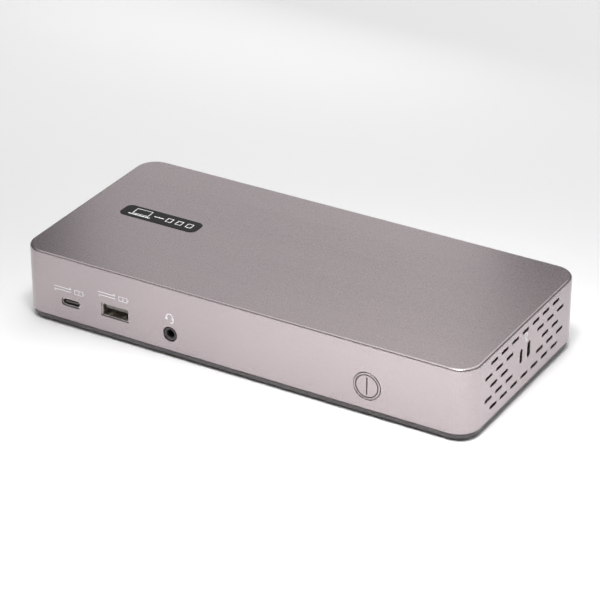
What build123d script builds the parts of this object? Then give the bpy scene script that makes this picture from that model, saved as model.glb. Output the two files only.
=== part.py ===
from build123d import *
import os

# A laptop docking station: an aluminium housing over a plastic base, one main board with its
# connectors on the front and rear edges, and a push button that works a switch on the board.
# Millimetres. +Z is up, +X is to the right seen from the front, and the front faces -Y.
# The origin is on the table, under the middle of the dock.

os.makedirs("parts", exist_ok=True)

# ---------------------------------------------------------------- driving dimensions
LENGTH = 210.0
DEPTH = 97.2
HOUSING_HEIGHT = 29.2
CORNER_R = 9.5
TOP_EDGE_R = 1.0
WALL = 1.8
ROOF = 2.0
BASE_STRIP = 2.6  # height of base that shows under the housing
BASE_INSET = 0.7  # how far the base sits in from the housing's sides
SEAM_HEIGHT = 0.55  # groove between the base and the housing
SEAM_DEPTH = 0.6
BASE_BEVEL = 0.6
FOOT_STAND = 0.9  # how far the feet hold the base off the table
FOOT_R = 6.0
FOOT_SEAT = 0.8  # how far each foot is let into the base
BOARD_LIFT = 6.8  # from the housing's lower edge up to the board's upper face
BOARD_T = 1.6
BOARD_SIZE = (201.6, 91.2)
BOARD_CORNER = 10.0  # side of the square cut from each corner of the board, for the housing's posts
RECESS = 0.7  # how far each connector's mouth lies behind the wall's outer face
PORT_MARGIN = 0.35  # how much wider a wall's cut-out is than the connector in it
EASED_EDGE = 0.15  # small bevel round every opening in the outer walls

# Front face, from the middle of the dock and from the housing's lower edge
FRONT_USB_C_X = -81.0
FRONT_USB_A_X = -59.0
HEADSET_X = -32.1
HEADSET_RISE = 7.7
BUTTON_X = 59.6
BUTTON_RISE = 10.5

# Rear face, from the middle of the dock
DC_X = 84.0
HOST_USB_C_X = 68.0
VIDEO_X = (50.0, 28.0, 6.0, -16.0)  # the two kinds of video port, in turn
USB_STACK_X = (-38.0, -57.0)
ETHERNET_X = -79.0

# Vents and lock slots in the end walls
VENT_LENGTH = 6.0
VENT_HEIGHT = 1.25
VENT_PITCH = 9.15
VENT_ROW_PITCH = 5.03
VENT_SKIN = 1.0  # the wall is this thin behind the vents
VENT_POCKET = (74.0, 24.0, 3.0)  # the thinned part of the wall: length, height and corner radius
VENT_Y = -1.0
VENT_RISE = 15.2
VENT_GAP = {0: 2.0, 1: 1.5, 2: 0.0}  # columns left solid round the lock slots, by row
LOCK_OFFSET = 3.45
NARROW_LOCK = (2.4, 6.2)
WIDE_LOCK = (3.0, 7.0)

# Name plate in the roof
NAME_PLATE = (38.0, 9.5, 3.0)  # length, width and corner radius
NAME_PLATE_AT = (-68.0, 1.4)
NAME_PLATE_T = 0.6
NAME_PLATE_PROUD = 0.15

# Standard connector sizes: the outside of the shell, then the opening
USB_C_SHELL, USB_C_OPENING = (8.94, 3.16), (8.34, 2.56)
USB_A_SHELL, USB_A_OPENING = (13.14, 5.7), (12.54, 5.12)
USB_A_LIFT = 0.4  # the single connector stands this far off the board
STACK_SHELL = (14.4, 15.6)
STACK_STEP = 3.9  # from the middle of the stack to the middle of each port
VIDEO_A_OPENING, VIDEO_B_OPENING = (14.0, 4.55), (16.1, 4.76)
VIDEO_WALL = 0.4
ETHERNET_SHELL = (16.2, 13.6, 20.8)
DC_BLOCK = (9.6, 10.8)
DC_BORE_R, DC_PIN_R, DC_PIN_ROOT_R = 3.2, 1.25, 1.7
HEADSET_BORE_R, HEADSET_NOSE_R = 1.8, 3.15
HEADSET_FACE = 0.2  # depth of the jack's face behind the wall's outer face
HEADSET_LEAD = 0.35  # bevel at the mouth of the bore, and round the nose

# Button and switch; depths are measured inwards from the front wall's outer face
BUTTON_R = 5.95
BUTTON_HOLE_R = 6.2
BUTTON_TRAVEL = 0.4
STEM_WIDTH = 3.2
FLANGE_DEPTH = (1.9, 2.7)
GUIDE_DEPTH = (FLANGE_DEPTH[1] + BUTTON_TRAVEL + 0.3, 6.0)
GUIDE_FOOT_T = 1.2
SWITCH_DEPTH = (9.7, 13.1)
SWITCH_SIZE = 6.2
PLUNGER_FRONT = 8.3
ENGRAVING = 0.45
ENGRAVED_RING = (5.25, 4.7)  # outer and inner radius
ENGRAVED_BAR = (0.62, 8.0)

# Chip under the heat sink: middle in X and Y, side and height
DISPLAY_CHIP = (-22.0, -6.0, 23.0, 1.8)
THERMAL_PAD_T = 0.5

# ---------------------------------------------------------------- worked out from those
HOUSING_Z = FOOT_STAND + BASE_STRIP
ROOF_Z = HOUSING_Z + HOUSING_HEIGHT
CEILING_Z = ROOF_Z - ROOF
BOARD_TOP = HOUSING_Z + BOARD_LIFT
BOARD_BOTTOM = BOARD_TOP - BOARD_T
INNER_LENGTH = LENGTH - 2 * WALL
INNER_DEPTH = DEPTH - 2 * WALL
BUTTON_Z = HOUSING_Z + BUTTON_RISE
HEADSET_Z = HOUSING_Z + HEADSET_RISE
USB_C_Z = BOARD_TOP + USB_C_SHELL[1] / 2
USB_A_Z = BOARD_TOP + USB_A_LIFT + USB_A_SHELL[1] / 2
STACK_Z = BOARD_TOP + STACK_SHELL[1] / 2
ETHERNET_Z = BOARD_TOP + ETHERNET_SHELL[1] / 2
DC_Z = BOARD_TOP + DC_BLOCK[1] / 2
VENT_Z = HOUSING_Z + VENT_RISE
POSTS = [(x, y) for x in (-96.5, 96.5) for y in (-41.8, 41.8)]
POST_R = 3.75
BOSSES = [(-94, -28), (94, -28), (-94, 28), (94, 28), (14, -36), (0, 22)]
GUIDE_SCREWS = [(BUTTON_X + x, -DEPTH / 2 + GUIDE_DEPTH[1] + 1.9) for x in (-5.9, 5.9)]
FEET = {
    "foot_front_left": (-86, -33),
    "foot_front_right": (86, -33),
    "foot_rear_left": (-86, 33),
    "foot_rear_right": (86, 33),
}
FRONT, REAR = -1, 1
LEFT, RIGHT = -1, 1
STANDING = (Align.CENTER, Align.CENTER, Align.MIN)
FROM_CORNER = (Align.MIN, Align.MIN, Align.MIN)


# ---------------------------------------------------------------- building blocks
def save(node, *pieces):
    """Write one node: a single piece, or several separate ones that share it."""
    solids = [solid for piece in pieces for solid in piece.solids()]
    shape = solids[0] if len(solids) == 1 else Compound(children=solids)
    export_step(shape, f"parts/{node}.step")


def block(x, y, z):
    """A box between the two limits given for each axis."""
    size = (x[1] - x[0], y[1] - y[0], z[1] - z[0])
    return Pos(x[0], y[0], z[0]) * Box(*size, align=FROM_CORNER)


def upright(x, y, z, radius):
    """A cylinder along Z between two heights."""
    return Pos(x, y, z[0]) * Cylinder(radius, z[1] - z[0], align=STANDING)


def slab(sketch, z):
    """A flat outline made solid between two heights."""
    return extrude(Plane.XY.offset(z[0]) * sketch, amount=z[1] - z[0])


def inward(sketch, wall, depth):
    """An outline drawn in X and Z, made solid between two depths behind the front or rear wall."""
    start = Plane(origin=(0, wall * (DEPTH / 2 - depth[0]), 0), x_dir=(1, 0, 0), z_dir=(0, -1, 0))
    return extrude(start * sketch, amount=depth[1] - depth[0], dir=(0, -wall, 0))


def sideways(sketch, wall, depth):
    """An outline drawn in Y and Z, made solid between two depths behind the left or right wall."""
    start = Plane(origin=(wall * (LENGTH / 2 - depth[0]), 0, 0), x_dir=(0, 1, 0), z_dir=(1, 0, 0))
    return extrude(start * sketch, amount=depth[1] - depth[0], dir=(-wall, 0, 0))


def strip(points, wall, x):
    """A bent strip: points of (depth, z) behind a wall, made solid between two X limits."""
    line = [(wall * (DEPTH / 2 - depth), z) for depth, z in points]
    plane = Plane(origin=(x[0], 0, 0), x_dir=(0, 1, 0), z_dir=(1, 0, 0))
    outline = make_face(Polyline(*line, close=True))
    return extrude(plane * outline, amount=x[1] - x[0], dir=(1, 0, 0))


def centred(middle, width):
    """The two limits of a width about its middle."""
    return (middle - width / 2, middle + width / 2)


# ---------------------------------------------------------------- case
def roomy(size):
    """The width and height of the cut-out for a connector of this width and height."""
    return (size[0] + PORT_MARGIN, size[1] + PORT_MARGIN)


def port_outlines(wall):
    """The cut-outs of the front or the rear wall, in X and Z."""
    usb_c = SlotOverall(*roomy(USB_C_SHELL))
    if wall == FRONT:
        return [
            Pos(FRONT_USB_C_X, USB_C_Z) * usb_c,
            Pos(FRONT_USB_A_X, USB_A_Z) * RectangleRounded(*roomy(USB_A_SHELL), 0.5),
            Pos(HEADSET_X, HEADSET_Z) * Circle(HEADSET_NOSE_R + 0.15),
            Pos(BUTTON_X, BUTTON_Z) * Circle(BUTTON_HOLE_R),
        ]
    holes = [
        Pos(DC_X, DC_Z) * Circle(4.6),
        Pos(HOST_USB_C_X, USB_C_Z) * usb_c,
        Pos(ETHERNET_X, ETHERNET_Z) * RectangleRounded(*roomy(ETHERNET_SHELL[:2]), 0.5),
    ]
    for x in USB_STACK_X:
        holes.append(Pos(x, STACK_Z) * RectangleRounded(*roomy(STACK_SHELL), 0.5))
    for place, x in enumerate(VIDEO_X):
        holes.append(Pos(x, video_z(place)) * video_outline(place, VIDEO_WALL + PORT_MARGIN / 2))
    return holes


def vents(solid_gap):
    """The staggered rows of vents as one outline in Y and Z, with or without the solid middle."""
    slots = Sketch()
    for row in range(-2, 3):
        shift = 0.5 * (row % 2)
        for step in range(-4, 4):
            column = step + shift
            if abs(column) > 3.5 or (solid_gap and abs(column) < VENT_GAP[abs(row)]):
                continue
            place = Pos(VENT_Y + column * VENT_PITCH, VENT_Z + row * VENT_ROW_PITCH)
            slots += place * SlotOverall(VENT_LENGTH, VENT_HEIGHT)
    return slots


def lock_slots(extra=0.0):
    """The two lock slots of the right wall, in Y and Z."""
    narrow = SlotOverall(NARROW_LOCK[1] + extra, NARROW_LOCK[0] + extra, rotation=90)
    wide = SlotOverall(WIDE_LOCK[1] + extra, WIDE_LOCK[0] + extra, rotation=90)
    height = HOUSING_Z + VENT_RISE + 0.1
    return Pos(VENT_Y - LOCK_OFFSET, height) * narrow + Pos(VENT_Y + LOCK_OFFSET, height) * wide


def ease_openings(housing, axis, end):
    """Bevel the outer edges of every opening in the housing's first or last wall along an axis."""
    wall = housing.faces().sort_by(axis)[end]
    edges = [edge for wire in wall.inner_wires() for edge in wire.edges()]
    return housing.chamfer(EASED_EDGE, None, edges)


def make_housing():
    """The aluminium shell: roof and four walls in one, open below."""
    outside = slab(RectangleRounded(LENGTH, DEPTH, CORNER_R), (HOUSING_Z, ROOF_Z))
    outside = fillet(outside.edges().group_by(Axis.Z)[-1], radius=TOP_EDGE_R)
    outside = chamfer(outside.edges().group_by(Axis.Z)[0], length=0.25)
    inside = slab(
        RectangleRounded(INNER_LENGTH, INNER_DEPTH, CORNER_R - WALL), (HOUSING_Z, CEILING_Z)
    )
    housing = outside - inside
    for x, y in POSTS:
        housing += upright(x, y, (HOUSING_Z, CEILING_Z), POST_R)
        housing -= upright(x, y, (HOUSING_Z, HOUSING_Z + 14.0), 1.5)
    for wall in (FRONT, REAR):
        for outline in port_outlines(wall):
            housing -= inward(outline, wall, (-1.0, WALL + 0.2))
    pocket = Pos(VENT_Y, VENT_Z) * RectangleRounded(*VENT_POCKET)
    for wall in (LEFT, RIGHT):
        housing -= sideways(pocket, wall, (VENT_SKIN, WALL + 0.1))
        housing -= sideways(vents(wall == RIGHT), wall, (-1.0, WALL))
    housing -= sideways(lock_slots(), RIGHT, (-1.0, WALL))
    for axis, end in ((Axis.Y, 0), (Axis.Y, -1), (Axis.X, -1)):
        housing = ease_openings(housing, axis, end)
    x, y = NAME_PLATE_AT
    length, width, radius = NAME_PLATE
    recess = Pos(x, y) * RectangleRounded(length + 0.2, width + 0.2, radius + 0.1)
    housing -= slab(recess, (ROOF_Z - NAME_PLATE_T + NAME_PLATE_PROUD, ROOF_Z + 1.0))
    return housing


def make_base_tray():
    """The plastic base: a floor, a low rim inside the housing, and bosses for the board."""
    floor_z = (FOOT_STAND, HOUSING_Z)
    seam_z = HOUSING_Z - SEAM_HEIGHT
    wide = 2 * BASE_INSET
    narrow = wide + 2 * SEAM_DEPTH
    lower = slab(
        RectangleRounded(LENGTH - wide, DEPTH - wide, CORNER_R - BASE_INSET),
        (FOOT_STAND, seam_z),
    )
    lower = chamfer(lower.edges().group_by(Axis.Z)[0], length=BASE_BEVEL)
    upper = slab(
        RectangleRounded(LENGTH - narrow, DEPTH - narrow, CORNER_R - narrow / 2),
        (seam_z, HOUSING_Z),
    )
    tray = lower + upper
    rim_z = (HOUSING_Z - 0.1, HOUSING_Z + 2.6)
    long_y, long_x = INNER_DEPTH / 2 - 0.25, INNER_LENGTH / 2 - 0.25
    for side in (-1, 1):
        tray += block((-86, 86), sorted((side * long_y, side * (long_y - 1.2))), rim_z)
        tray += block(sorted((side * long_x, side * (long_x - 1.2))), (-33, 33), rim_z)
    for x in (-60, -20, 40):
        tray += block(centred(x, 1.2), (-long_y, long_y), (HOUSING_Z - 0.1, HOUSING_Z + 2.4))
    tray += block((-long_x, long_x), (-0.6, 0.6), (HOUSING_Z - 0.1, HOUSING_Z + 2.4))
    for x, y in BOSSES:
        tray += upright(x, y, (HOUSING_Z - 0.1, BOARD_BOTTOM), 3.4)
        tray -= upright(x, y, (BOARD_BOTTOM - 4.2, BOARD_BOTTOM), 2.13)
    for x, y in POSTS:
        tray -= upright(x, y, (floor_z[0] - 0.1, floor_z[1] + 0.1), 1.7)
        tray -= Pos(x, y, FOOT_STAND) * Cone(2.95, 1.6, 1.45, align=STANDING)
    for x, y in FEET.values():
        tray -= upright(x, y, (FOOT_STAND - 0.1, FOOT_STAND + FOOT_SEAT), FOOT_R + 0.1)
    return tray


def make_foot(x, y):
    """A rubber foot, glued into its recess in the base."""
    foot = upright(x, y, (0, FOOT_STAND + FOOT_SEAT), FOOT_R)
    return fillet(foot.edges().group_by(Axis.Z)[0], radius=0.3)


def make_name_plate():
    """A plain oblong plate with nothing written on it, let into the roof."""
    length, width, radius = NAME_PLATE
    top = ROOF_Z + NAME_PLATE_PROUD
    plate = slab(Pos(*NAME_PLATE_AT) * RectangleRounded(length, width, radius), (top - NAME_PLATE_T, top))
    return fillet(plate.edges().group_by(Axis.Z)[-1], radius=0.12)


def make_lock_plate():
    """A steel plate bonded behind the lock slots, so that a lock pulls on steel."""
    outline = Pos(VENT_Y, VENT_Z + 0.1) * RectangleRounded(15.6, 8.8, 1.0)
    return sideways(outline - lock_slots(0.3), RIGHT, (VENT_SKIN, VENT_SKIN + 1.5))


def cross_recess(x, y, z):
    """The cross-shaped driver recess of a screw, between two heights."""
    return block(centred(x, 2.2), centred(y, 0.6), z) + block(centred(x, 0.6), centred(y, 2.2), z)


def make_case_screw(x, y):
    """A countersunk screw up through the base into a post of the housing."""
    head_z = FOOT_STAND + 0.05
    screw = Pos(x, y, head_z) * Cone(2.75, 1.45, 1.4, align=STANDING)
    screw += upright(x, y, (head_z + 1.3, HOUSING_Z + 10.0), 1.45)
    return screw - cross_recess(x, y, (head_z - 0.1, head_z + 0.8))


def make_board_screw(x, y):
    """A pan-head screw that holds the board on a boss."""
    head = upright(x, y, (BOARD_TOP, BOARD_TOP + 1.8), 2.4)
    head = fillet(head.edges().group_by(Axis.Z)[-1], radius=0.6)
    screw = head + upright(x, y, (BOARD_TOP - 5.0, BOARD_TOP + 0.1), 1.2)
    return screw - cross_recess(x, y, (BOARD_TOP + 0.9, BOARD_TOP + 2.0))


def make_insert(x, y):
    """A brass threaded insert set in a boss of the base."""
    outside = upright(x, y, (BOARD_BOTTOM - 4.0, BOARD_BOTTOM), 2.1)
    return outside - upright(x, y, (BOARD_BOTTOM - 4.1, BOARD_BOTTOM + 0.1), 1.25)


# ---------------------------------------------------------------- board and what stands on it
def board_outline(shrink):
    """The board's outline: an oblong with square corners cut away for the housing's posts."""
    length, depth = (size - 2 * shrink for size in BOARD_SIZE)
    outline = Rectangle(length, depth)
    for x in (-length / 2, length / 2):
        for y in (-depth / 2, depth / 2):
            outline -= Pos(x, y) * Rectangle(2 * BOARD_CORNER, 2 * BOARD_CORNER)
    jack_notch_y = -DEPTH / 2 + 15.0
    outline -= Pos(HEADSET_X, jack_notch_y - 10.0) * Rectangle(7.2 + 2 * shrink, 20.0)
    button_notch_y = -DEPTH / 2 + GUIDE_DEPTH[0]
    return outline - Pos(BUTTON_X, button_notch_y - 5.0) * Rectangle(14.0, 10.0)


def make_main_board():
    board = slab(board_outline(0.0), (BOARD_BOTTOM, BOARD_TOP))
    for x, y in BOSSES:
        board -= upright(x, y, (BOARD_BOTTOM - 0.1, BOARD_TOP + 0.1), 1.45)
    for x, y in GUIDE_SCREWS:
        board -= upright(x, y, (BOARD_BOTTOM - 0.1, BOARD_TOP + 0.1), 0.8)
    return board


def make_insulating_sheet():
    """A thin plastic film under the board, with clearance round the bosses."""
    sheet = slab(board_outline(1.5), (BOARD_BOTTOM - 0.25, BOARD_BOTTOM))
    for x, y in BOSSES:
        sheet -= upright(x, y, (BOARD_BOTTOM - 0.5, BOARD_BOTTOM + 0.1), 4.2)
    return sheet


def chip(x, y, side, height):
    """A square chip package with its orientation dimple."""
    body = block(centred(x, side), centred(y, side), (BOARD_TOP, BOARD_TOP + height))
    body = chamfer(body.edges().group_by(Axis.Z)[-1], length=0.15)
    dimple = (BOARD_TOP + height - 0.1, BOARD_TOP + height + 0.1)
    return body - upright(x - side * 0.38, y + side * 0.38, dimple, side * 0.05)


def make_thermal_pad():
    x, y, side, height = DISPLAY_CHIP
    base = BOARD_TOP + height
    return block(centred(x, side - 1), centred(y, side - 1), (base, base + THERMAL_PAD_T))


def make_heat_sink():
    """An aluminium plate with upright fins over the largest chip."""
    x, y, _, height = DISPLAY_CHIP
    size, plate, fin_height, fin, fins = 46.0, 2.5, 9.5, 1.0, 12
    base = BOARD_TOP + height + THERMAL_PAD_T
    sink = block(centred(x, size), centred(y, size), (base, base + plate))
    pitch = (size - fin) / (fins - 1)
    for place in range(fins):
        middle = x - (size - fin) / 2 + place * pitch
        sink += block(centred(middle, fin), centred(y, size), (base + plate - 0.1, base + fin_height))
    return sink


def make_capacitor(x, y):
    """A round can capacitor on its square plastic seat."""
    seat = block(centred(x, 8.2), centred(y, 8.2), (BOARD_TOP, BOARD_TOP + 1.0))
    can = upright(x, y, (BOARD_TOP + 0.9, BOARD_TOP + 9.0), 4.0)
    return seat + fillet(can.edges().group_by(Axis.Z)[-1], radius=0.5)


def make_inductor(x, y):
    body = block(centred(x, 8.0), centred(y, 8.0), (BOARD_TOP, BOARD_TOP + 4.2))
    return chamfer(body.edges().filter_by(Axis.Z), length=1.0)


def make_crystal(x, y):
    can = block(centred(x, 3.2), centred(y, 2.5), (BOARD_TOP, BOARD_TOP + 0.8))
    return fillet(can.edges().filter_by(Axis.Z), radius=0.4)


def make_ethernet_transformer():
    body = block(centred(ETHERNET_X, 16.0), (12.0, 23.0), (BOARD_TOP, BOARD_TOP + 6.0))
    return chamfer(body.edges().group_by(Axis.Z)[-1], length=0.6)


# ---------------------------------------------------------------- USB connectors
def make_usb_c_shell(x, wall):
    """A drawn steel shell with round ends, closed at the back."""
    place = Pos(x, USB_C_Z)
    shell = inward(place * SlotOverall(*USB_C_SHELL), wall, (RECESS, 7.9))
    return shell - inward(place * SlotOverall(*USB_C_OPENING), wall, (RECESS, 7.3))


def make_usb_c_tongue(x, wall):
    """The plastic blade in the middle of the opening, and the block it grows from."""
    place = Pos(x, USB_C_Z)
    root = SlotOverall(USB_C_OPENING[0] - 0.04, USB_C_OPENING[1] - 0.04)
    blade = RectangleRounded(6.69, 0.7, 0.3)
    return inward(place * root, wall, (5.4, 7.3)) + inward(place * blade, wall, (1.1, 5.5))


def spring_finger(x, z, wall, up):
    """A bent finger that grips the plug, rising from a wall of the opening at height z."""
    line = [(7.2, -0.1), (7.2, 0.22), (3.4, 0.58), (1.8, 0.15), (1.8, -0.05), (3.4, 0.36), (6.4, -0.1)]
    return strip([(depth, z + up * height) for depth, height in line], wall, centred(x, 1.9))


FINGER_X = (-3.0, 3.0)


def make_usb_a_shell(x, wall):
    """A folded steel shell, open at both ends, with two grip fingers above and two below."""
    place = Pos(x, USB_A_Z)
    shell = inward(place * RectangleRounded(*USB_A_SHELL, 0.6), wall, (RECESS, 14.0))
    shell -= inward(place * RectangleRounded(*USB_A_OPENING, 0.35), wall, (0.0, 15.0))
    half = USB_A_OPENING[1] / 2
    for up in (1, -1):
        inner = USB_A_Z - up * half
        for offset in FINGER_X:
            window = Pos(x + offset, inner - up * 0.2) * Rectangle(2.5, 0.7)
            shell -= inward(window, wall, (1.5, 6.2))
            shell += spring_finger(x + offset, inner, wall, up)
    return shell


def tongue_z(port_z):
    """Limits in Z of the tongue, which hangs near the top of the opening."""
    top = port_z + USB_A_OPENING[1] / 2 - 0.75
    return (top - 1.7, top)


def make_usb_a_tongue(x, wall):
    """The plastic tongue, its root block, and the foot that the shell stands on."""
    low, high = tongue_z(USB_A_Z)
    blade = Pos(x, (low + high) / 2) * Rectangle(11.1, high - low)
    root = Pos(x, USB_A_Z) * RectangleRounded(12.4, 5.0, 0.35)
    shell_floor = BOARD_TOP + USB_A_LIFT
    back_top = USB_A_Z + 2.5
    back = Pos(x, (BOARD_TOP + back_top) / 2) * Rectangle(12.4, back_top - BOARD_TOP)
    foot = Pos(x, BOARD_TOP + USB_A_LIFT / 2) * Rectangle(12.0, shell_floor - BOARD_TOP)
    return (
        inward(blade, wall, (2.2, 11.1))
        + inward(root, wall, (11.0, 14.1))
        + inward(back, wall, (14.0, 14.8))
        + inward(foot, wall, (3.0, 14.1))
    )


CONTACT_X = (-3.5, -1.0, 1.0, 3.5)


def usb_a_contacts(x, port_z, wall):
    """Four flat contacts on the underside of a tongue."""
    low = tongue_z(port_z)[0]
    outlines = [Pos(x + offset, low - 0.06) * Rectangle(1.0, 0.12) for offset in CONTACT_X]
    return [inward(outline, wall, (2.8, 10.9)) for outline in outlines]


def stack_ports():
    """Middles in Z of the two ports of a stacked connector."""
    return (STACK_Z - STACK_STEP, STACK_Z + STACK_STEP)


def make_usb_stack_shell(x):
    """A steel shell with two openings, one over the other."""
    shell = inward(Pos(x, STACK_Z) * RectangleRounded(*STACK_SHELL, 0.6), REAR, (RECESS, 17.8))
    for z in stack_ports():
        shell -= inward(Pos(x, z) * RectangleRounded(*USB_A_OPENING, 0.35), REAR, (0.0, 18.0))
        for offset in FINGER_X:
            shell += spring_finger(x + offset, z - USB_A_OPENING[1] / 2, REAR, 1)
    return shell


def stack_tongue(x, z):
    """One tongue of a stacked connector, on a block that fills the back of its opening."""
    low, high = tongue_z(z)
    blade = Pos(x, (low + high) / 2) * Rectangle(11.1, high - low)
    root = Pos(x, z) * RectangleRounded(12.4, 5.0, 0.35)
    return inward(blade, REAR, (2.2, 11.1)) + inward(root, REAR, (11.0, 17.6))


# ---------------------------------------------------------------- other connectors
def video_size(place):
    """Opening of a video port: the two kinds take turns along the rear wall."""
    return VIDEO_B_OPENING if place % 2 else VIDEO_A_OPENING


def video_z(place):
    return BOARD_TOP + VIDEO_WALL + video_size(place)[1] / 2


def video_outline(place, grow):
    """Outline of a video port about its middle: two lower corners cut, or only one."""
    width, height = video_size(place)
    half, top, bottom = width / 2 + grow, height / 2 + grow, -height / 2 - grow
    cut_x, cut_z = (2.0, 2.0) if place % 2 else (1.7, 1.6)
    line = [(-half, top), (half, top), (half, bottom + cut_z), (half - cut_x, bottom)]
    if place % 2:
        line.append((-half, bottom))
    else:
        line += [(cut_x - half, bottom), (-half, bottom + cut_z)]
    return make_face(Polyline(*line, close=True))


def make_video_shell(place):
    """A folded steel shell in the port's own outline, closed at the back."""
    at = Pos(VIDEO_X[place], video_z(place))
    shell = inward(at * video_outline(place, VIDEO_WALL), REAR, (RECESS, 11.6))
    return shell - inward(at * video_outline(place, 0.0), REAR, (RECESS, 11.0))


def make_video_tongue(place):
    """The plastic blade of a video port, with the block that closes the opening behind it."""
    at = Pos(VIDEO_X[place], video_z(place))
    width = video_size(place)[0] - 2.8
    blade = at * Pos(0, 0.2) * Rectangle(width, 1.2)
    root = at * video_outline(place, -0.04)
    return inward(blade, REAR, (1.6, 8.6)) + inward(root, REAR, (8.5, 11.0))


def ethernet_cavity():
    """The plug's opening, its latch channel and its key, in X and Z."""
    body = Rectangle(11.9, 7.0)
    latch = Pos(0, -4.3) * Rectangle(6.1, 1.7)
    key = Pos(0, -5.6) * Rectangle(3.4, 1.1)
    return Pos(ETHERNET_X, BOARD_TOP + 7.3) * (body + latch + key)


def led_outlines():
    """The two status lenses above the plug's opening."""
    return [Pos(ETHERNET_X + x, BOARD_TOP + 12.0) * Rectangle(3.2, 1.6) for x in (-5.6, 5.6)]


def make_ethernet_shell():
    """A steel hood over the network jack, open at the front and towards the board."""
    width, height, depth = ETHERNET_SHELL
    outside = Pos(ETHERNET_X, ETHERNET_Z) * Rectangle(width, height)
    inside = Pos(ETHERNET_X, ETHERNET_Z - 0.3) * Rectangle(width - 0.6, height)
    hood = inward(outside, REAR, (RECESS + 0.1, RECESS + depth))
    return hood - inward(inside, REAR, (RECESS, RECESS + depth - 0.3))


def make_ethernet_insert():
    """The jack's plastic body, with the plug's opening and seats for the lenses."""
    width, height, depth = ETHERNET_SHELL
    size = (width - 0.7, height - 0.4)
    outline = Pos(ETHERNET_X, BOARD_TOP + size[1] / 2) * Rectangle(*size)
    insert = inward(outline, REAR, (RECESS, RECESS + depth - 0.4))
    insert -= inward(ethernet_cavity(), REAR, (0.0, 13.5))
    for outline in led_outlines():
        insert -= inward(outline, REAR, (0.0, 2.5))
    return insert


def ethernet_contacts():
    """Eight springy wires that slope back from the opening's ceiling."""
    ceiling = BOARD_TOP + 10.8
    line = [(3.0, ceiling), (4.0, ceiling), (11.0, ceiling - 2.2), (10.9, ceiling - 2.4), (4.0, ceiling - 0.3)]
    middles = [ETHERNET_X + 1.02 * (place - 3.5) for place in range(8)]
    return [strip(line, REAR, centred(x, 0.4)) for x in middles]


def make_dc_body():
    """The power jack's plastic body: a round nose on a block, with a blind bore."""
    at = Pos(DC_X, DC_Z)
    body = inward(at * Circle(4.4), REAR, (RECESS, 2.5))
    body += inward(at * Rectangle(*DC_BLOCK), REAR, (2.4, 14.5))
    body -= inward(at * Circle(DC_BORE_R), REAR, (0.0, 9.8))
    body -= inward(at * Circle(DC_PIN_ROOT_R + 0.02), REAR, (9.7, 13.0))
    slot = at * Pos(0, -3.4) * Rectangle(2.6, 1.8)
    return body - inward(slot, REAR, (3.5, 9.8))


def make_dc_pin():
    """The power jack's centre pin, with a rounded tip and a thicker root set in the body."""
    at = Pos(DC_X, DC_Z)
    pin = inward(at * Circle(DC_PIN_R), REAR, (1.2, 9.9))
    pin = fillet(pin.edges().group_by(Axis.Y)[-1], radius=0.6)
    return pin + inward(at * Circle(DC_PIN_ROOT_R), REAR, (9.8, 12.9))


def make_dc_contact():
    """The sprung outer contact, flat in its slot under the bore."""
    leaf = Pos(DC_X, DC_Z - 4.15) * Rectangle(2.4, 0.3)
    return inward(leaf, REAR, (3.5, 9.8))


def make_headset_body():
    """The headset jack: a round nose on a block sunk into the board, and its blind bore."""
    at = Pos(HEADSET_X, HEADSET_Z)
    nose = inward(at * Circle(HEADSET_NOSE_R), FRONT, (HEADSET_FACE, 2.1))
    body = chamfer(nose.edges().group_by(Axis.Y)[0], length=HEADSET_LEAD)
    body += inward(at * Rectangle(6.6, 5.2), FRONT, (2.0, 14.6))
    wings = Pos(HEADSET_X, BOARD_TOP + 0.4) * Rectangle(11.0, 0.8)
    body += inward(wings, FRONT, (5.0, 12.5))
    body -= inward(at * Circle(HEADSET_BORE_R), FRONT, (0.0, 14.0))
    mouth = Plane(origin=(HEADSET_X, HEADSET_FACE - DEPTH / 2, HEADSET_Z), z_dir=(0, 1, 0))
    body -= mouth * Cone(HEADSET_BORE_R + HEADSET_LEAD, HEADSET_BORE_R, HEADSET_LEAD, align=STANDING)
    for side in (-1, 1):
        for depth in (4.0, 8.5):
            slot = at * Pos(side * 2.8, 0) * Rectangle(1.2, 2.6)
            body -= inward(slot, FRONT, (depth, depth + 1.6))
    return body


def headset_contacts():
    """Four contact leaves in the slots of the jack's sides."""
    leaves = []
    for side in (-1, 1):
        for depth in (4.0, 8.5):
            leaf = Pos(HEADSET_X + side * 2.8, HEADSET_Z) * Rectangle(0.4, 2.6)
            leaves.append(inward(leaf, FRONT, (depth, depth + 1.6)))
    return leaves


# ---------------------------------------------------------------- power button and switch
def make_power_button():
    """The button's cap with its engraved mark, retaining flange and square stem."""
    at = Pos(BUTTON_X, BUTTON_Z)
    cap = inward(at * Circle(BUTTON_R), FRONT, (0.0, FLANGE_DEPTH[0] + 0.1))
    cap = fillet(cap.edges().group_by(Axis.Y)[0], radius=0.25)
    cap += inward(at * Circle(BUTTON_R + 1.1), FRONT, FLANGE_DEPTH)
    cap += inward(at * Rectangle(STEM_WIDTH, STEM_WIDTH), FRONT, (FLANGE_DEPTH[1] - 0.1, PLUNGER_FRONT))
    ring = Circle(ENGRAVED_RING[0]) - Circle(ENGRAVED_RING[1])
    bar = RectangleRounded(*ENGRAVED_BAR, 0.3)
    return cap - inward(at * (ring + bar), FRONT, (-0.1, ENGRAVING))


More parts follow.
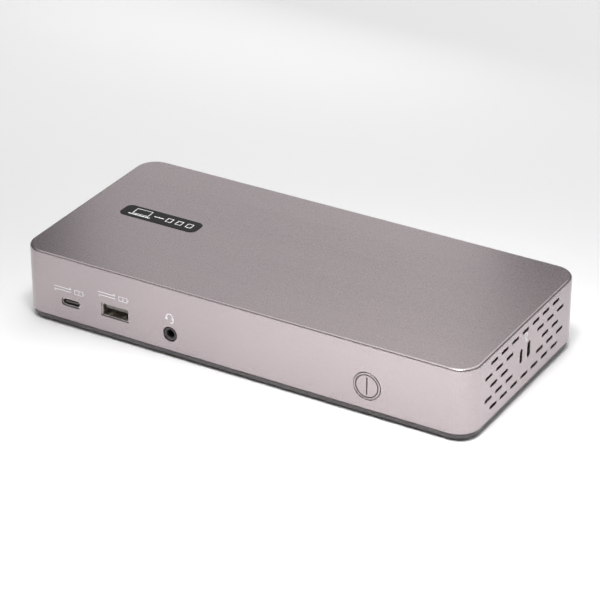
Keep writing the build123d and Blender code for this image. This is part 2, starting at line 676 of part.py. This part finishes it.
def make_button_guide():
    """A plastic plate on the board that steers the button's square stem."""
    top = BUTTON_Z + 4.0
    plate = Pos(BUTTON_X, (BOARD_TOP + top) / 2) * Rectangle(15.0, top - BOARD_TOP)
    guide = inward(plate, FRONT, GUIDE_DEPTH)
    for side in (-1, 1):
        foot = Pos(BUTTON_X + side * 5.9, BOARD_TOP + GUIDE_FOOT_T / 2) * Rectangle(3.2, GUIDE_FOOT_T)
        guide += inward(foot, FRONT, (GUIDE_DEPTH[1] - 0.1, GUIDE_DEPTH[1] + 3.6))
    for x, y in GUIDE_SCREWS:
        guide -= upright(x, y, (BOARD_TOP - 0.1, BOARD_TOP + GUIDE_FOOT_T + 0.1), 0.8)
    hole = Pos(BUTTON_X, BUTTON_Z) * Rectangle(STEM_WIDTH + 0.16, STEM_WIDTH + 0.16)
    return guide - inward(hole, FRONT, (GUIDE_DEPTH[0] - 0.1, GUIDE_DEPTH[1] + 0.1))


def make_guide_screw(x, y):
    """A small screw that holds one foot of the guide on the board."""
    seat = BOARD_TOP + GUIDE_FOOT_T
    head = upright(x, y, (seat, seat + 0.9), 1.35)
    screw = head + upright(x, y, (BOARD_BOTTOM, seat + 0.1), 0.7)
    return screw - upright(x, y, (seat + 0.4, seat + 1.0), 0.5)


def make_switch_body():
    """The switch's plastic body, with a chamber that holds the plunger's collar and the dome."""
    at = Pos(BUTTON_X, BUTTON_Z)
    front, back = SWITCH_DEPTH
    body = inward(at * Rectangle(SWITCH_SIZE, SWITCH_SIZE), FRONT, SWITCH_DEPTH)
    body -= inward(at * Circle(1.85), FRONT, (front - 0.1, front + 1.1))
    return body - inward(at * Circle(2.5), FRONT, (front + 1.0, back - 1.0))


def make_switch_bracket():
    """The steel bracket that stands the switch upright on the board."""
    front, back = SWITCH_DEPTH
    metal = 0.4
    outer = SWITCH_SIZE + 2 * metal
    top = BUTTON_Z + 2.0
    span = Pos(BUTTON_X, (BOARD_TOP + top) / 2) * Rectangle(outer, top - BOARD_TOP)
    gap = Pos(BUTTON_X, (BOARD_TOP + top) / 2) * Rectangle(SWITCH_SIZE, top - BOARD_TOP + 1.0)
    return inward(span, FRONT, (front + 0.3, back + metal)) - inward(gap, FRONT, (front, back))


def make_switch_dome():
    """The snap dome at the back of the switch's chamber, bulging towards the plunger."""
    sphere_r, metal, rim_r, rise = 7.1, 0.1, 2.2, 0.35
    seat = SWITCH_DEPTH[1] - 1.0
    centre_y = -DEPTH / 2 + seat - rise + sphere_r
    ball = Pos(BUTTON_X, centre_y, BUTTON_Z) * (Sphere(sphere_r) - Sphere(sphere_r - metal))
    return ball & inward(Pos(BUTTON_X, BUTTON_Z) * Circle(rim_r), FRONT, (seat - 1.0, seat))


def make_switch_plunger():
    """The switch's plunger: a rod, the collar that keeps it in the body, and a nub for the dome."""
    at = Pos(BUTTON_X, BUTTON_Z)
    collar = SWITCH_DEPTH[0] + 1.05
    rod = inward(at * Circle(1.75), FRONT, (PLUNGER_FRONT, collar + 0.1))
    plunger = rod + inward(at * Circle(2.3), FRONT, (collar, collar + 0.4))
    return plunger + inward(at * Circle(0.8), FRONT, (collar + 0.3, collar + 0.55))


# ---------------------------------------------------------------- write every node
save("housing", make_housing())
save("base_tray", make_base_tray())
save("name_plate", make_name_plate())
save("lock_plate", make_lock_plate())
for foot_name, foot_place in FEET.items():
    save(foot_name, make_foot(*foot_place))
save("case_screws", *[make_case_screw(x, y) for x, y in POSTS])
save("board_screws", *[make_board_screw(x, y) for x, y in BOSSES])
save("threaded_inserts", *[make_insert(x, y) for x, y in BOSSES])

save("main_board", make_main_board())
save("insulating_sheet", make_insulating_sheet())
save("display_chip", chip(*DISPLAY_CHIP))
save("hub_chip", chip(-62.0, -14.0, 10.0, 0.9))
save("ethernet_chip", chip(-62.0, 6.0, 8.0, 0.9))
save("power_chip", chip(62.0, 14.0, 7.0, 0.9))
save("thermal_pad", make_thermal_pad())
save("heat_sink", make_heat_sink())
save("capacitors", *[make_capacitor(x, y) for x, y in ((90, 14), (90, 4), (62, -4), (36, 10), (36, -2))])
save("inductors", *[make_inductor(x, y) for x, y in ((48, 14), (78, 12), (78, -2), (48, 0))])
save("crystals", *[make_crystal(x, y) for x, y in ((-52, -14), (-54, 6), (10, -10))])
save("ethernet_transformer", make_ethernet_transformer())

save("front_usb_c_shell", make_usb_c_shell(FRONT_USB_C_X, FRONT))
save("front_usb_c_tongue", make_usb_c_tongue(FRONT_USB_C_X, FRONT))
save("host_usb_c_shell", make_usb_c_shell(HOST_USB_C_X, REAR))
save("host_usb_c_tongue", make_usb_c_tongue(HOST_USB_C_X, REAR))
save("front_usb_a_shell", make_usb_a_shell(FRONT_USB_A_X, FRONT))
save("front_usb_a_tongue", make_usb_a_tongue(FRONT_USB_A_X, FRONT))
save("front_usb_a_contacts", *usb_a_contacts(FRONT_USB_A_X, USB_A_Z, FRONT))
stack_contacts = []
for number, stack_x in enumerate(USB_STACK_X, start=1):
    save(f"usb_stack_{number}_shell", make_usb_stack_shell(stack_x))
    save(f"usb_stack_{number}_tongues", *[stack_tongue(stack_x, z) for z in stack_ports()])
    for port_z in stack_ports():
        stack_contacts += usb_a_contacts(stack_x, port_z, REAR)
save("usb_stack_contacts", *stack_contacts)

for number in range(len(VIDEO_X)):
    save(f"video_port_{number + 1}_shell", make_video_shell(number))
    save(f"video_port_{number + 1}_tongue", make_video_tongue(number))
save("ethernet_jack_shell", make_ethernet_shell())
save("ethernet_jack_insert", make_ethernet_insert())
save("ethernet_jack_contacts", *ethernet_contacts())
save("ethernet_leds", *[inward(outline, REAR, (RECESS, 2.5)) for outline in led_outlines()])
save("dc_jack_body", make_dc_body())
save("dc_jack_pin", make_dc_pin())
save("dc_jack_contact", make_dc_contact())
save("headset_jack_body", make_headset_body())
save("headset_jack_contacts", *headset_contacts())

save("power_button", make_power_button())
save("button_guide", make_button_guide())
save("guide_screws", *[make_guide_screw(x, y) for x, y in GUIDE_SCREWS])
save("switch_body", make_switch_body())
save("switch_bracket", make_switch_bracket())
save("switch_dome", make_switch_dome())
save("switch_plunger", make_switch_plunger())
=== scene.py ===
"""A laptop docking station: the looks around its CAD frame, with a studio floor, lights and a camera."""

from math import cos, pi, radians, sin

import bpy
from mathutils import Matrix, Quaternion, Vector


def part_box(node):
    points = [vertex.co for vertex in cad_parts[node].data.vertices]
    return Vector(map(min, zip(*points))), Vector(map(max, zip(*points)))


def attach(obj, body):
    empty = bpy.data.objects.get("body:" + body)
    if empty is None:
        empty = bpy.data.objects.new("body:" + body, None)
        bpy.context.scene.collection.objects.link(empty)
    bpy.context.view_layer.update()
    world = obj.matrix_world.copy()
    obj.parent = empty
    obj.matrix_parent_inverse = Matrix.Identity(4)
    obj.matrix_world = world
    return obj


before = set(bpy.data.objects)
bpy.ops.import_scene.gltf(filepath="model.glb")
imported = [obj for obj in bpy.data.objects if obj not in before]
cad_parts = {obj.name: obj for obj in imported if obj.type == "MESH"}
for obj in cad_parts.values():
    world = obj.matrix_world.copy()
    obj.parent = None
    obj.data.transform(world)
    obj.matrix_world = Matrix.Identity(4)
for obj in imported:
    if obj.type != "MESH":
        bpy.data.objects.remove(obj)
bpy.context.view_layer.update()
MM = 0.001

# The view: where the camera stands round the point it looks at, in degrees and metres. That point is
# AIM_FROM_MIDDLE from the dock's middle, at the height of the housing's open bottom.
AZIMUTH, ELEVATION = 30.28, 28.87
DISTANCE = 1.1433
LENS, SENSOR_WIDTH = 162.24, 36.0
AIM_FROM_MIDDLE = Vector((-7.92 * MM, 15.13 * MM, 0))

HOUSING_LOW, HOUSING_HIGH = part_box("housing")
FRONT_Y, REAR_Y = HOUSING_LOW.y, HOUSING_HIGH.y
RIGHT_X = HOUSING_HIGH.x
SHELL_Z = HOUSING_LOW.z


def middle(node):
    low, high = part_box(node)
    return (low + high) / 2


# ---------------------------------------------------------------- material building blocks
class Material:
    """A Principled material and the few node chains that the pieces need."""

    def __init__(self, name, color, roughness, metallic=0.0, **sockets):
        self.data = bpy.data.materials.new(name)
        self.data.use_nodes = True
        self.tree = self.data.node_tree
        self.shader = self.tree.nodes["Principled BSDF"]
        self.color = color
        self.roughness = roughness
        self.set("Base Color", (*color, 1.0))
        self.set("Roughness", roughness)
        self.set("Metallic", metallic)
        for socket, value in sockets.items():
            self.set(socket.replace("_", " "), value)
        self.place = self.node("ShaderNodeTexCoord").outputs["Object"]
        self.height = None

    def set(self, socket, value):
        self.shader.inputs[socket].default_value = value

    def node(self, kind, **settings):
        made = self.tree.nodes.new(kind)
        for name, value in settings.items():
            setattr(made, name, value)
        return made

    def link(self, output, socket):
        self.tree.links.new(output, socket)

    def stretched(self, scale):
        """Coordinates scaled by a different amount along each axis, for grain that runs one way."""
        mapping = self.node("ShaderNodeMapping")
        self.link(self.place, mapping.inputs["Vector"])
        mapping.inputs["Scale"].default_value = scale
        return mapping.outputs["Vector"]

    def noise(self, size, detail=2.0, stretch=(1, 1, 1), roughness=0.5):
        """Noise with features about size metres across."""
        made = self.node("ShaderNodeTexNoise")
        self.link(self.stretched(stretch), made.inputs["Vector"])
        made.inputs["Scale"].default_value = 1.0 / size
        made.inputs["Detail"].default_value = detail
        made.inputs["Roughness"].default_value = roughness
        return made.outputs["Fac"]

    def cells(self, size):
        """Distance to the nearest of points scattered about size metres apart."""
        made = self.node("ShaderNodeTexVoronoi")
        self.link(self.place, made.inputs["Vector"])
        made.inputs["Scale"].default_value = 1.0 / size
        return made.outputs["Distance"]

    def remap(self, value, low, high, source=(0.3, 0.7)):
        made = self.node("ShaderNodeMapRange")
        self.link(value, made.inputs["Value"])
        made.inputs["From Min"].default_value = source[0]
        made.inputs["From Max"].default_value = source[1]
        made.inputs["To Min"].default_value = low
        made.inputs["To Max"].default_value = high
        return made.outputs["Result"]

    def vary_color(self, value, amount, tint=(1, 1, 1)):
        """The base colour, darker and lighter by amount as value changes."""
        mix = self.node("ShaderNodeMix", data_type="RGBA")
        self.link(value, mix.inputs["Factor"])
        dark = [c * (1 - amount) for c in self.color]
        light = [min(c * (1 + amount) * t, 1) for c, t in zip(self.color, tint)]
        mix.inputs["A"].default_value = (*dark, 1)
        mix.inputs["B"].default_value = (*light, 1)
        self.link(mix.outputs["Result"], self.shader.inputs["Base Color"])
        return self

    def vary_roughness(self, value, amount):
        result = self.remap(value, self.roughness - amount, self.roughness + amount)
        self.link(result, self.shader.inputs["Roughness"])
        return self

    def bump(self, value, strength, distance):
        made = self.node("ShaderNodeBump")
        self.link(value, made.inputs["Height"])
        made.inputs["Strength"].default_value = strength
        made.inputs["Distance"].default_value = distance
        if self.height is not None:
            self.link(self.height, made.inputs["Normal"])
        self.height = made.outputs["Normal"]
        self.link(self.height, self.shader.inputs["Normal"])
        return self


# ---------------------------------------------------------------- the materials
def anodised_aluminium():
    """Bead-blasted, anodised in a warm grey: a fine grain, with faint clouds in its colour."""
    made = Material("anodised_aluminium", (0.438, 0.384, 0.397), 0.28, metallic=1.0)
    clouds = made.noise(0.055, detail=3.0)
    grain = made.noise(0.00035, detail=3.0)
    made.vary_color(made.remap(clouds, 0, 1), 0.02, tint=(1.0, 0.995, 0.99))
    made.vary_roughness(grain, 0.02)
    return made.bump(grain, 0.055, 0.00002)


def moulded_plastic(name, color, roughness, grain=0.0006, depth=0.00003):
    """Injection-moulded plastic with a spark-eroded texture."""
    made = Material(name, color, roughness, IOR=1.5)
    spots = made.noise(grain, detail=3.0, roughness=0.6)
    made.vary_color(made.remap(made.noise(0.018, detail=2.0), 0, 1), 0.06)
    made.vary_roughness(spots, 0.07)
    return made.bump(spots, 0.35, depth)


def rubber():
    made = Material("foot_rubber", (0.035, 0.035, 0.036), 0.78)
    spots = made.noise(0.0004, detail=3.0, roughness=0.65)
    made.vary_color(made.remap(made.noise(0.004), 0, 1), 0.2)
    made.vary_roughness(spots, 0.1)
    return made.bump(spots, 0.5, 0.00005)


def satin_plate():
    """A black plastic plate with a satin face and a very slight orange peel."""
    made = Material("name_plate_black", (0.0095, 0.0083, 0.0078), 0.42, Specular_IOR_Level=0.17)
    peel = made.noise(0.0022, detail=1.0)
    made.vary_color(made.remap(made.noise(0.012), 0, 1), 0.08)
    made.vary_roughness(made.noise(0.0008), 0.03)
    return made.bump(peel, 0.08, 0.00004)


def plated_metal(name, color, roughness, along=(1, 0.06, 1)):
    """Pressed and plated sheet metal, with faint drawing marks that run into the connector."""
    made = Material(name, color, roughness, metallic=1.0)
    marks = made.noise(0.00028, detail=3.0, stretch=along)
    stains = made.noise(0.0035, detail=3.0)
    made.vary_color(made.remap(stains, 0, 1), 0.07, tint=(1.0, 0.99, 0.96))
    made.vary_roughness(marks, 0.08)
    return made.bump(marks, 0.2, 0.00001)


def board_laminate():
    """Solder mask over copper: rows of traces show as slightly raised, lighter lines."""
    made = Material("board_laminate", (0.012, 0.07, 0.035), 0.34, Coat_Weight=0.5, Coat_Roughness=0.2)
    wave = made.node("ShaderNodeTexWave", wave_type="BANDS", bands_direction="DIAGONAL")
    made.link(made.stretched((1, 1, 0)), wave.inputs["Vector"])
    wave.inputs["Scale"].default_value = 130.0
    wave.inputs["Distortion"].default_value = 9.0
    wave.inputs["Detail"].default_value = 0.0
    wave.inputs["Detail Scale"].default_value = 0.8
    traces = made.remap(wave.outputs["Fac"], 0, 1, source=(0.55, 0.7))
    made.vary_color(traces, 0.35, tint=(1.2, 1.1, 1.0))
    made.vary_roughness(made.noise(0.003), 0.05)
    return made.bump(traces, 0.5, 0.00003)


def chip_epoxy():
    made = Material("chip_epoxy", (0.018, 0.018, 0.019), 0.55)
    spots = made.noise(0.0003, detail=3.0, roughness=0.7)
    made.vary_color(made.remap(made.noise(0.005), 0, 1), 0.15)
    made.vary_roughness(spots, 0.1)
    return made.bump(spots, 0.5, 0.00002)


def printing_ink():
    """White screen-printed ink, a little uneven."""
    made = Material("printing_ink", (0.86, 0.86, 0.86), 0.5)
    patches = made.noise(0.0009, detail=3.0)
    made.vary_color(made.remap(patches, 0, 1), 0.04)
    made.vary_roughness(made.noise(0.0003), 0.08)
    return made.bump(patches, 0.2, 0.00001)


def dark_fill():
    """A dark film laid in the bottom of the button's engraving."""
    made = Material("engraving_dark_fill", (0.16, 0.135, 0.135), 0.6)
    patches = made.noise(0.0007, detail=3.0)
    made.vary_color(made.remap(patches, 0, 1), 0.1)
    made.vary_roughness(made.noise(0.0003), 0.08)
    return made.bump(patches, 0.2, 0.00001)


def lens_plastic():
    made = Material("led_lens", (0.75, 0.78, 0.66), 0.28, Transmission_Weight=0.35, IOR=1.49)
    swirl = made.noise(0.0016, detail=2.0)
    made.vary_color(made.remap(swirl, 0, 1), 0.05)
    made.vary_roughness(swirl, 0.06)
    return made.bump(swirl, 0.1, 0.00002)


def insulating_film():
    made = Material("insulating_film", (0.62, 0.6, 0.52), 0.4)
    ripple = made.noise(0.006, detail=2.0)
    made.vary_color(made.remap(ripple, 0, 1), 0.06)
    made.vary_roughness(made.noise(0.001), 0.08)
    return made.bump(ripple, 0.2, 0.0001)


def thermal_gum():
    made = Material("thermal_gum", (0.3, 0.37, 0.46), 0.72)
    pores = made.cells(0.0007)
    made.vary_color(made.remap(made.noise(0.002, detail=3.0), 0, 1), 0.12)
    made.vary_roughness(made.noise(0.0006), 0.1)
    return made.bump(pores, 0.4, 0.00005)


def dress_cad_nodes():
    """Give every CAD node its material."""
    plated = plated_metal("port_steel", (0.86, 0.84, 0.82), 0.36)
    shells = [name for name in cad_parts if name.endswith("_shell")]
    tongues = [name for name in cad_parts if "tongue" in name and not name.startswith("front")]
    feet = [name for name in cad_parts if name.startswith("foot_")]
    chips = [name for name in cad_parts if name.endswith("_chip")]
    dressing = [
        (anodised_aluminium(), ["housing", "power_button"]),
        (moulded_plastic("base_plastic", (0.118, 0.108, 0.107), 0.5, grain=0.0005), ["base_tray"]),
        (satin_plate(), ["name_plate"]),
        (rubber(), feet),
        (plated, [*shells, "dc_jack_pin", "dc_jack_contact"]),
        (moulded_plastic("port_plastic", (0.022, 0.022, 0.024), 0.42, grain=0.0003),
         [*tongues, "ethernet_jack_insert"]),
        # The front tongues get lighter copies of the black port plastic: painted light, standing in for the
        # light that reaches into the shaded front ports.
        (moulded_plastic("port_plastic_painted_light_usb_a", (0.23, 0.205, 0.2), 0.45, grain=0.0003),
         ["front_usb_a_tongue"]),
        (moulded_plastic("port_plastic_painted_light_usb_c", (0.13, 0.108, 0.106), 0.4, grain=0.0003),
         ["front_usb_c_tongue"]),
        (plated_metal("gold_contact", (0.83, 0.6, 0.26), 0.22),
         ["front_usb_a_contacts", "usb_stack_contacts", "ethernet_jack_contacts", "headset_jack_contacts"]),
        (lens_plastic(), ["ethernet_leds"]),
        (moulded_plastic("jack_plastic", (0.052, 0.045, 0.045), 0.38, grain=0.0003),
         ["headset_jack_body", "dc_jack_body"]),
        (board_laminate(), ["main_board"]),
        (insulating_film(), ["insulating_sheet"]),
        (chip_epoxy(), [*chips, "ethernet_transformer"]),
        (thermal_gum(), ["thermal_pad"]),
        (plated_metal("black_anodised_aluminium", (0.05, 0.05, 0.052), 0.4), ["heat_sink"]),
        (plated_metal("capacitor_can", (0.7, 0.7, 0.71), 0.3, along=(1, 1, 0.1)), ["capacitors"]),
        (plated_metal("crystal_can", (0.72, 0.7, 0.66), 0.26), ["crystals"]),
        (moulded_plastic("ferrite", (0.07, 0.07, 0.072), 0.62, grain=0.0004), ["inductors"]),
        (plated_metal("screw_steel", (0.16, 0.16, 0.17), 0.35),
         ["case_screws", "board_screws", "guide_screws"]),
        (plated_metal("brass_insert", (0.78, 0.58, 0.28), 0.3, along=(1, 1, 0.1)), ["threaded_inserts"]),
        (plated_metal("lock_steel", (0.68, 0.64, 0.64), 0.42, along=(1, 1, 0.08)), ["lock_plate"]),
        (plated_metal("spring_steel", (0.55, 0.55, 0.54), 0.3), ["switch_bracket", "switch_dome"]),
        (moulded_plastic("guide_plastic", (0.6, 0.6, 0.57), 0.5), ["button_guide"]),
        (moulded_plastic("switch_plastic", (0.04, 0.04, 0.042), 0.45, grain=0.0003),
         ["switch_body", "switch_plunger"]),
    ]
    for material, nodes in dressing:
        for name in nodes:
            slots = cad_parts[name].data.materials
            slots.clear()
            slots.append(material.data)
    bare = [name for name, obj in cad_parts.items() if not obj.data.materials]
    assert not bare, bare


# ---------------------------------------------------------------- printed marks
UPRIGHT = Matrix.Rotation(pi / 2, 4, "X")


def front_wall(x, z):
    """Where a mark on the front wall stands: x across, z up, and its face towards -Y."""
    return Matrix.Translation((x, FRONT_Y, z)) @ UPRIGHT


def right_wall(y, z):
    return Matrix.Translation((RIGHT_X, y, z)) @ Matrix.Rotation(pi / 2, 4, "Z") @ UPRIGHT


def rear_wall(x, z):
    return Matrix.Translation((x, REAR_Y, z)) @ Matrix.Rotation(pi, 4, "Z") @ UPRIGHT


def arc(x, y, radius, start, end, steps=20):
    """Points along an arc, in degrees."""
    angles = [radians(start + (end - start) * step / steps) for step in range(steps + 1)]
    return [(x + radius * cos(a), y + radius * sin(a)) for a in angles]


def box_line(x, y, width, height):
    """The four corners of a rectangle about its middle."""
    corners = ((-1, -1), (1, -1), (1, 1), (-1, 1))
    return [(x + side * width / 2, y + end * height / 2) for side, end in corners]


# The marks' own shapes are in millimetres, and their places in metres
INK_HEIGHT = 0.03
RING_RADIUS = 4.975
ENGRAVING_DEPTH = 0.40 * MM
LABEL_SHIFT = -0.1 * MM
USB_C_LABEL_Z = SHELL_Z + 14.3 * MM
USB_A_LABEL_Z = SHELL_Z + 17.4 * MM
HEADSET_LABEL_Z = SHELL_Z + 15.2 * MM
LOCK_LABEL_Z = SHELL_Z + 22 * MM
LOCK_LABEL_SHIFT = 0.6 * MM
VIDEO_LABEL_GAP = 4.2 * MM


def printed(name, strokes, place, material, body="dock"):
    """A mark made of strokes in millimetres, each (points, width, closed), as a flat rounded film of ink."""
    curve = bpy.data.curves.new(name, "CURVE")
    curve.dimensions = "3D"
    curve.bevel_depth = 1.0
    curve.bevel_resolution = 3
    curve.use_fill_caps = True
    for points, width, closed in strokes:
        spline = curve.splines.new("POLY")
        spline.points.add(len(points) - 1)
        for point, (x, y) in zip(spline.points, points):
            point.co = (x, y, 0, 1)
            point.radius = width / 2
        spline.use_cyclic_u = closed
    shape = bpy.data.objects.new(name, curve)
    mesh = bpy.data.meshes.new_from_object(shape)
    bpy.data.objects.remove(shape)
    mesh.name = name
    for vertex in mesh.vertices:
        vertex.co.z = max(-INK_HEIGHT, min(INK_HEIGHT, vertex.co.z))
    mesh.transform(place @ Matrix.Scale(MM, 4))
    mesh.polygons.foreach_set("use_smooth", [True] * len(mesh.polygons))
    mesh.materials.append(material.data)
    piece = bpy.data.objects.new(name, mesh)
    bpy.context.scene.collection.objects.link(piece)
    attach(piece, body)
    return piece


def data_arrows(x, y, length):
    """Two opposed arrows, for data both ways."""
    half, gap, barb = length / 2, 0.66, 0.8
    width = 0.44
    upper = [(x - half, y + gap), (x + half, y + gap)]
    lower = [(x - half, y - gap), (x + half, y - gap)]
    upper_tip = [(x + half - barb, y + gap + barb), (x + half, y + gap)]
    lower_tip = [(x - half + barb, y - gap - barb), (x - half, y - gap)]
    return [(line, width, False) for line in (upper, lower, upper_tip, lower_tip)]


def battery(x, y, length):
    """A battery being charged: an outline, its end cap and a bolt."""
    width, tall = 0.42, 2.0
    outline = box_line(x, y, length, tall)
    cap = [(x + length / 2 + 0.5, y - 0.35), (x + length / 2 + 0.5, y + 0.35)]
    bolt = [(x + 0.3, y + 0.6), (x - 0.4, y - 0.08), (x + 0.4, y + 0.08), (x - 0.3, y - 0.6)]
    return [(outline, width, True), (cap, 0.5, False), (bolt, 0.34, False)]


def headset():
    """A pair of headphones with a microphone arm."""
    band = arc(0, 0.35, 1.5, 0, 180)
    return [
        (band, 0.55, False),
        ([(-1.5, 0.3), (-1.5, -0.95)], 1.1, False),
        ([(1.5, 0.3), (1.5, -0.95)], 1.1, False),
        ([(1.65, -0.9), (1.65, -1.6), (1.2, -2.1), (0.3, -2.1)], 0.5, False),
    ]


def padlock():
    """A closed padlock: three thick strokes for its body, and the shackle above them."""
    body = [([(-1.0, y), (1.0, y)], 0.9, False) for y in (-1.4, -0.8, -0.2)]
    shackle = [(-1.05, 0.1), *arc(0, 1.0, 1.05, 180, 0, 12), (1.05, 0.1)]
    return [*body, (shackle, 0.5, False)]


def port_mark(width):
    """A screen on its stand."""
    return [
        (box_line(0, 0.35, width, 2.1), 0.4, True),
        ([(0, -0.7), (0, -1.25)], 0.4, False),
        ([(-0.9, -1.35), (0.9, -1.35)], 0.4, False),
    ]


def power_mark():
    """What fills the engraved ring and bar of the power button."""
    ring = arc(0, 0, RING_RADIUS, 0, 360, steps=72)[:-1]
    bar = [(0, -3.7), (0, 3.7)]
    return [(ring, 0.5, True), (bar, 0.56, False)]


def name_plate_mark():
    """A laptop beside a row of ports, joined by a line."""
    laptop = [
        (box_line(-9.6, 0.65, 7.6, 4.3), 0.6, True),
        ([(-15.0, -2.5), (-4.2, -2.5)], 0.8, False),
    ]
    line = [([(-3.4, 0.0), (1.4, 0.0)], 0.7, False)]
    ports = [(box_line(x, 0.0, 2.6, 3.0), 0.65, True) for x in (4.2, 9.2, 14.2)]
    return [*laptop, *line, *ports]


def make_marks():
    ink = printing_ink()
    usb_c, usb_a, jack = middle("front_usb_c_shell"), middle("front_usb_a_shell"), middle("headset_jack_body")
    marks = [*data_arrows(-3.6, 0, 8.4), *battery(4.4, 0, 4.0)]
    printed("mark_front_usb_c", marks, front_wall(usb_c.x + LABEL_SHIFT, USB_C_LABEL_Z), ink)
    printed("mark_front_usb_a", marks, front_wall(usb_a.x + LABEL_SHIFT, USB_A_LABEL_Z), ink)
    printed("mark_headset", headset(), front_wall(jack.x, HEADSET_LABEL_Z), ink)
    lock = middle("lock_plate")
    printed("mark_lock", padlock(), right_wall(lock.y + LOCK_LABEL_SHIFT, LOCK_LABEL_Z), ink)
    low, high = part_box("name_plate")
    top = Matrix.Translation(((low.x + high.x) / 2, (low.y + high.y) / 2, high.z))
    printed("mark_name_plate", name_plate_mark(), top, ink)
    button = middle("power_button")
    groove = front_wall(button.x, button.z) @ Matrix.Translation((0, 0, -ENGRAVING_DEPTH))
    printed("mark_power_button", power_mark(), groove, dark_fill(), body="power_button")
    for number in range(1, 5):
        low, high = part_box(f"video_port_{number}_shell")
        place = rear_wall((low.x + high.x) / 2, high.z + VIDEO_LABEL_GAP)
        printed(f"mark_video_port_{number}", port_mark(3.4), place, ink)


# ---------------------------------------------------------------- studio
def area_light(name, place, aim, size, power, roll=0.0):
    """A soft box at place that faces aim, turned by roll degrees about that line."""
    data = bpy.data.lights.new(name, "AREA")
    data.shape = "RECTANGLE"
    data.size, data.size_y = size
    data.energy = power
    lamp = bpy.data.objects.new(name, data)
    lamp.location = place
    lamp.rotation_mode = "QUATERNION"
    facing = (Vector(aim) - Vector(place)).to_track_quat("-Z", "Y")
    lamp.rotation_quaternion = facing @ Quaternion((0, 0, 1), radians(roll))
    lamp.visible_camera = False
    bpy.context.scene.collection.objects.link(lamp)


FLOOR_SIZE = 12.0


def make_floor():
    mesh = bpy.data.meshes.new("floor")
    corners = [(x, y, 0) for x, y in box_line(0, 0, FLOOR_SIZE, FLOOR_SIZE)]
    mesh.from_pydata(corners, [], [(0, 1, 2, 3)])
    floor = bpy.data.objects.new("floor", mesh)
    bpy.context.scene.collection.objects.link(floor)
    made = Material("floor_paper", (0.93, 0.93, 0.93), 0.75)
    made.vary_color(made.remap(made.noise(0.4), 0, 1), 0.004)
    made.set("Specular IOR Level", 0.2)
    mesh.materials.append(made.data)


def make_world():
    """Pale near the horizon and dim above it, as in a studio with low white walls."""
    world = bpy.data.worlds.new("studio")
    bpy.context.scene.world = world
    world.use_nodes = True
    nodes, links = world.node_tree.nodes, world.node_tree.links
    background = nodes["Background"]
    background.inputs["Color"].default_value = (1.0, 0.99, 0.985, 1)
    direction = nodes.new("ShaderNodeTexCoord")
    height = nodes.new("ShaderNodeSeparateXYZ")
    fade = nodes.new("ShaderNodeMapRange")
    fade.interpolation_type = "SMOOTHSTEP"
    for socket, value in (("From Min", 0.12), ("From Max", 0.36), ("To Min", 0.38), ("To Max", 0.07)):
        fade.inputs[socket].default_value = value
    links.new(direction.outputs["Generated"], height.inputs["Vector"])
    links.new(height.outputs["Z"], fade.inputs["Value"])
    links.new(fade.outputs["Result"], background.inputs["Strength"])


def sun_light(name, strength, width):
    """A wide, even light from straight above, width degrees across."""
    data = bpy.data.lights.new(name, "SUN")
    data.energy = strength
    data.angle = radians(width)
    lamp = bpy.data.objects.new(name, data)
    bpy.context.scene.collection.objects.link(lamp)


SPOT_LAMP_RADIUS = 0.08


def spot_light(name, place, power, width):
    """A pool of light with a soft edge on the floor below place, from a cone width degrees across."""
    data = bpy.data.lights.new(name, "SPOT")
    data.energy = power
    data.spot_size = radians(width)
    data.spot_blend = 1.0
    data.shadow_soft_size = SPOT_LAMP_RADIUS
    lamp = bpy.data.objects.new(name, data)
    lamp.location = place
    bpy.context.scene.collection.objects.link(lamp)


def make_lights():
    """Broad light from above, fills, cards for the metal to reflect, and a light on the floor behind."""
    sun_light("ceiling", 0.62, 50.0)
    area_light("overhead", (-0.35, -0.1, 1.6), (0, 0, 0), (2.1, 2.1), 12.3)

    spot_light("floor_spot", (0.12, -0.2, 0.6), 15.0, 64.0)
    area_light("right_fill", (0.5, 0.12, 0.45), (0.15, 0.06, 0), (0.5, 0.5), 0.6)

    area_light("rear_card", (-0.19, 0.30, 0.2), (-0.19, -1.0, 0.2), (0.28, 0.3), 0.176)
    area_light("rear_band", (-0.175, 0.30, 0.188), (-0.175, -1.0, 0.188), (0.32, 0.1), 0.0067, roll=-21.0)
    area_light("high_card", (-0.45, 0.85, 1.05), (0, 0, 0), (1.3, 0.55), 0.6)
    area_light("right_card", (0.45, 0.65, 0.42), (0.1, 0.05, 0.03), (0.4, 0.3), 0.08)
    area_light("front_card", (-1.0, -1.8, 0.5), (0, 0, 0.03), (2.0, 0.9), 2.5)

    area_light("backdrop", (0.05, 0.9, 1.0), (0.05, 0.85, 0.0), (0.9, 0.7), 3.9)


def make_camera():
    target = AIM_FROM_MIDDLE + Vector((0, 0, SHELL_Z))
    azimuth, elevation = radians(AZIMUTH), radians(ELEVATION)
    back = Vector((sin(azimuth) * cos(elevation), -cos(azimuth) * cos(elevation), sin(elevation)))
    data = bpy.data.cameras.new("camera")
    data.lens = LENS
    data.sensor_width = SENSOR_WIDTH
    camera = bpy.data.objects.new("camera", data)
    camera.location = target + back * DISTANCE
    camera.rotation_mode = "QUATERNION"
    camera.rotation_quaternion = (-back).to_track_quat("-Z", "Y")
    bpy.context.scene.collection.objects.link(camera)
    bpy.context.scene.camera = camera


make_camera()
make_floor()
make_world()
make_lights()
bpy.context.scene.view_settings.view_transform = "Standard"
dress_cad_nodes()
make_marks()
